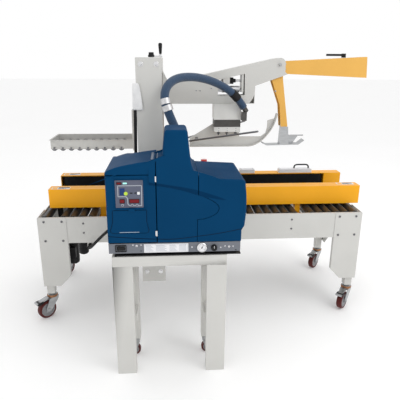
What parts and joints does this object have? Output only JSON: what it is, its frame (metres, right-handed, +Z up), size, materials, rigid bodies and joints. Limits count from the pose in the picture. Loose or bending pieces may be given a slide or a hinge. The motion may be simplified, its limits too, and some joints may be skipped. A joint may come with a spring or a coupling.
{
  "type": "hot melt carton sealer",
  "caption": "Roller conveyor bed with powered side belts, a height-adjustable flap-folding and glueing head on twin columns, and a hot melt glue unit on a stand.",
  "frame": {"origin": "middle of the whole footprint, at floor level", "axes": "+X towards the infeed end along the conveyor (cartons travel towards -X), +Y from the glue unit's side to the far side, +Z up"},
  "size_m": [1.8332, 1.185, 1.439],
  "materials": {
    "frame_paint": "semi-gloss powder coat, warm light grey",
    "yellow_paint": "semi-gloss powder coat, orange yellow",
    "blue_paint": "gloss stoved enamel, deep blue",
    "grey_base": "semi-gloss powder coat, mid grey",
    "black_paint": "satin black powder coat",
    "zinc": "zinc plated steel",
    "bright_steel": "ground and polished steel",
    "aluminium": "satin cast aluminium",
    "black_plastic": "moulded black plastic",
    "white_plastic": "moulded white plastic",
    "red_plastic": "gloss red plastic",
    "belt_rubber": "black rubber belt",
    "tyre_pu": "dark red polyurethane",
    "hose_sleeve": "blue braided sleeve over heated hose",
    "cable_black": "black cable jacket"
  },
  "bodies": {
    "machine_frame": {"bed_frame": "frame_paint", "leg_covers": "frame_paint", "leg_posts": "frame_paint", "frame_screws": "zinc", "deck_rollers": "zinc", "lift_columns": "frame_paint", "top_cross_beam": "frame_paint", "estop_box": "yellow_paint", "stand_frame": "frame_paint", "melter_mount_plate": "black_paint", "melter_base": "grey_base", "melter_housing": "blue_paint", "melter_tower": "blue_paint", "melt_tank": "aluminium", "pressure_gauge": "white_plastic", "glue_hose": "hose_sleeve", "hose_fittings": "aluminium", "signal_cable": "cable_black"},
    "estop_button": {"estop_button": "red_plastic"},
    "melter_lid": {"melter_lid": "blue_paint"},
    "melter_door": {"melter_door": "blue_paint"},
    "power_switch": {"power_switch": "black_plastic"},
    "regulator_knob": {"regulator_knob": "black_plastic"},
    "front_lift_screw": {"lift_screw_front": "bright_steel", "crank_handle": "zinc"},
    "rear_lift_screw": {"lift_screw_rear": "bright_steel"},
    "press_head": {"head_carriage": "frame_paint", "main_beam": "frame_paint", "infeed_cover": "yellow_paint", "gun_housing": "frame_paint", "glue_guns": "black_paint", "plow_ski": "frame_paint", "fold_rods": "frame_paint", "press_tray": "frame_paint", "press_rollers": "zinc", "kick_cylinder": "aluminium"},
    "star_knob": {"star_knob": "black_plastic"},
    "ratchet_handle": {"ratchet_handle": "black_paint"},
    "kicker": {"kicker_arm": "yellow_paint", "kicker_foot": "frame_paint"},
    "front_belt_unit": {"front_belt_housing": "yellow_paint", "front_drive_belt": "belt_rubber", "front_gearmotor": "black_paint"},
    "front_drive_pulley": {"front_drive_pulley": "bright_steel"},
    "rear_belt_unit": {"rear_belt_housing": "yellow_paint", "rear_drive_belt": "belt_rubber", "rear_gearmotor": "black_paint"},
    "rear_drive_pulley": {"rear_drive_pulley": "bright_steel"},
    "caster_front_left_fork": {"caster_front_left_fork": "zinc"},
    "caster_front_left_wheel": {"caster_front_left_wheel": "tyre_pu"},
    "caster_front_right_fork": {"caster_front_right_fork": "zinc"},
    "caster_front_right_wheel": {"caster_front_right_wheel": "tyre_pu"},
    "caster_rear_left_fork": {"caster_rear_left_fork": "zinc"},
    "caster_rear_left_wheel": {"caster_rear_left_wheel": "tyre_pu"},
    "caster_rear_right_fork": {"caster_rear_right_fork": "zinc"},
    "caster_rear_right_wheel": {"caster_rear_right_wheel": "tyre_pu"},
    "stand_caster_left_fork": {"stand_caster_left_fork": "zinc"},
    "stand_caster_left_wheel": {"stand_caster_left_wheel": "tyre_pu"},
    "stand_caster_right_fork": {"stand_caster_right_fork": "zinc"},
    "stand_caster_right_wheel": {"stand_caster_right_wheel": "tyre_pu"}
  },
  "joints": [
    {"name": "head_lift", "type": "slide", "parent": "machine_frame", "child": "press_head", "axis": [0, 0, 1], "range_m": [-0.185, 0.13], "deforming": ["glue_hose"]},
    {"name": "front_screw_turn", "type": "hinge", "parent": "machine_frame", "child": "front_lift_screw", "pos_m": [-0.24935, -0.1175, 0.8], "axis": [0, 0, 1], "range_deg": [-6700, 4720]},
    {"name": "rear_screw_turn", "type": "hinge", "parent": "machine_frame", "child": "rear_lift_screw", "pos_m": [-0.24935, 0.5525, 0.8], "axis": [0, 0, 1], "range_deg": [-6700, 4720]},
    {"name": "kicker_swing", "type": "hinge", "parent": "press_head", "child": "kicker", "pos_m": [0.42965, 0.2175, 1.34], "axis": [0, -1, 0], "range_deg": [0, 50]},
    {"name": "star_knob_turn", "type": "hinge", "parent": "press_head", "child": "star_knob", "pos_m": [0.17265, 0.2175, 1.254], "axis": [1, 0, 0], "continuous": true},
    {"name": "ratchet_turn", "type": "hinge", "parent": "press_head", "child": "ratchet_handle", "pos_m": [0.78765, 0.2175, 1.385], "axis": [0, 0, 1], "continuous": true},
    {"name": "front_belt_slide", "type": "slide", "parent": "machine_frame", "child": "front_belt_unit", "axis": [0, -1, 0], "range_m": [-0.052, 0.08]},
    {"name": "rear_belt_slide", "type": "slide", "parent": "machine_frame", "child": "rear_belt_unit", "axis": [0, 1, 0], "range_m": [-0.052, 0.08]},
    {"name": "front_pulley_spin", "type": "hinge", "parent": "front_belt_unit", "child": "front_drive_pulley", "pos_m": [-0.77285, 0.0765, 0.6], "axis": [0, 0, 1], "continuous": true},
    {"name": "rear_pulley_spin", "type": "hinge", "parent": "rear_belt_unit", "child": "rear_drive_pulley", "pos_m": [-0.77285, 0.3585, 0.6], "axis": [0, 0, 1], "continuous": true},
    {"name": "estop_press", "type": "slide", "parent": "machine_frame", "child": "estop_button", "axis": [0, 0, -1], "range_m": [0, 0.006], "stiffness_N_per_m": 800},
    {"name": "lid_hinge", "type": "hinge", "parent": "machine_frame", "child": "melter_lid", "pos_m": [-0.32835, -0.251, 0.934], "axis": [-1, 0, 0], "range_deg": [0, 80]},
    {"name": "door_hinge", "type": "hinge", "parent": "machine_frame", "child": "melter_door", "pos_m": [-0.22985, -0.579, 0.79], "axis": [0, 0, 1], "range_deg": [0, 100]},
    {"name": "power_switch_rock", "type": "hinge", "parent": "machine_frame", "child": "power_switch", "pos_m": [-0.37935, -0.5725, 0.618], "axis": [0, 0, 1], "range_deg": [-8, 8]},
    {"name": "regulator_turn", "type": "hinge", "parent": "machine_frame", "child": "regulator_knob", "pos_m": [0.00665, -0.5725, 0.616], "axis": [0, -1, 0], "range_deg": [-300, 300]},
    {"name": "caster_front_left_swivel", "type": "hinge", "parent": "machine_frame", "child": "caster_front_left_fork", "pos_m": [-0.82835, -0.0445, 0.12], "axis": [0, 0, 1], "continuous": true},
    {"name": "caster_front_right_swivel", "type": "hinge", "parent": "machine_frame", "child": "caster_front_right_fork", "pos_m": [0.83365, -0.0445, 0.12], "axis": [0, 0, 1], "continuous": true},
    {"name": "caster_rear_left_swivel", "type": "hinge", "parent": "machine_frame", "child": "caster_rear_left_fork", "pos_m": [-0.82835, 0.4795, 0.12], "axis": [0, 0, 1], "continuous": true},
    {"name": "caster_rear_right_swivel", "type": "hinge", "parent": "machine_frame", "child": "caster_rear_right_fork", "pos_m": [0.83365, 0.4795, 0.12], "axis": [0, 0, 1], "continuous": true},
    {"name": "caster_front_left_roll", "type": "hinge", "parent": "caster_front_left_fork", "child": "caster_front_left_wheel", "pos_m": [-0.8576, -0.07178, 0.05], "axis": [-0.682, 0.7314, 0], "continuous": true},
    {"name": "caster_front_right_roll", "type": "hinge", "parent": "caster_front_right_fork", "child": "caster_front_right_wheel", "pos_m": [0.80637, -0.07375, 0.05], "axis": [-0.7314, 0.682, 0], "continuous": true},
    {"name": "caster_rear_left_roll", "type": "hinge", "parent": "caster_rear_left_fork", "child": "caster_rear_left_wheel", "pos_m": [-0.85899, 0.45379, 0.05], "axis": [-0.6428, 0.766, 0], "continuous": true},
    {"name": "caster_rear_right_roll", "type": "hinge", "parent": "caster_rear_right_fork", "child": "caster_rear_right_wheel", "pos_m": [0.80537, 0.45122, 0.05], "axis": [-0.7071, 0.7071, 0], "continuous": true},
    {"name": "stand_caster_left_swivel", "type": "hinge", "parent": "machine_frame", "child": "stand_caster_left_fork", "pos_m": [-0.34235, -0.4275, 0.08], "axis": [0, 0, 1], "continuous": true},
    {"name": "stand_caster_left_roll", "type": "hinge", "parent": "stand_caster_left_fork", "child": "stand_caster_left_wheel", "pos_m": [-0.35435, -0.4275, 0.03], "axis": [0, 1, 0], "continuous": true},
    {"name": "stand_caster_right_swivel", "type": "hinge", "parent": "machine_frame", "child": "stand_caster_right_fork", "pos_m": [-0.01435, -0.4275, 0.08], "axis": [0, 0, 1], "continuous": true},
    {"name": "stand_caster_right_roll", "type": "hinge", "parent": "stand_caster_right_fork", "child": "stand_caster_right_wheel", "pos_m": [-0.00235, -0.4275, 0.03], "axis": [0, 1, 0], "continuous": true}
  ],
  "couplings": [
    {"joint": "front_screw_turn", "follows": "head_lift", "rad_per_m": 628.32},
    {"joint": "rear_screw_turn", "follows": "head_lift", "rad_per_m": 628.32},
    {"joint": "rear_belt_slide", "follows": "front_belt_slide", "ratio": 1}
  ]
}
